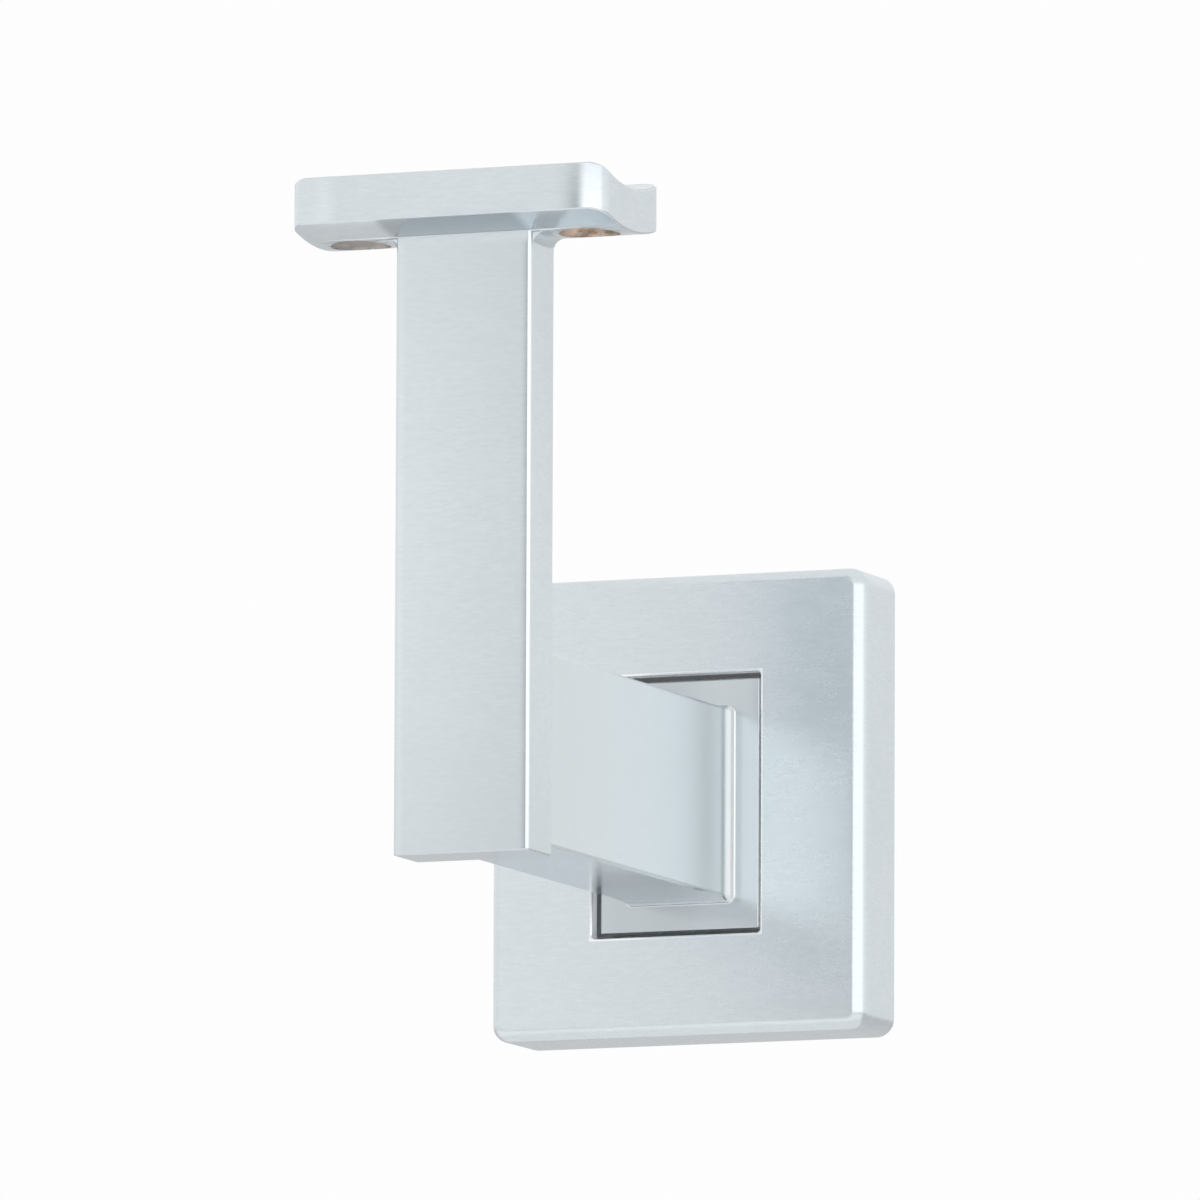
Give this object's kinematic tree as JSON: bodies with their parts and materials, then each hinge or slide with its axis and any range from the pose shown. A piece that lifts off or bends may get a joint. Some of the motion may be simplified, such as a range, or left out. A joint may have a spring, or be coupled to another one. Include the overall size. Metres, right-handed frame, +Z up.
{
  "type": "handrail bracket",
  "caption": "Wall-mounted handrail bracket: square-edged arm and upright post, curved rail saddle, and a rectangular cover hiding the wall flange.",
  "frame": {"origin": "centre of the four wall screw holes, in the wall's plane, on the arm's axis", "axes": "+X along the wall and the handrail, +Y into the wall, +Z up towards the handrail"},
  "size_m": [0.055, 0.0955, 0.1079],
  "materials": {
    "satin_chrome": "satin, brushed, plated on brass",
    "screw_steel": "plain zinc-plated"
  },
  "bodies": {
    "root": {"post_with_saddle": "satin_chrome", "arm_with_flange": "satin_chrome", "wall_cover": "satin_chrome", "joint_screw": "screw_steel"}
  },
  "joints": []
}
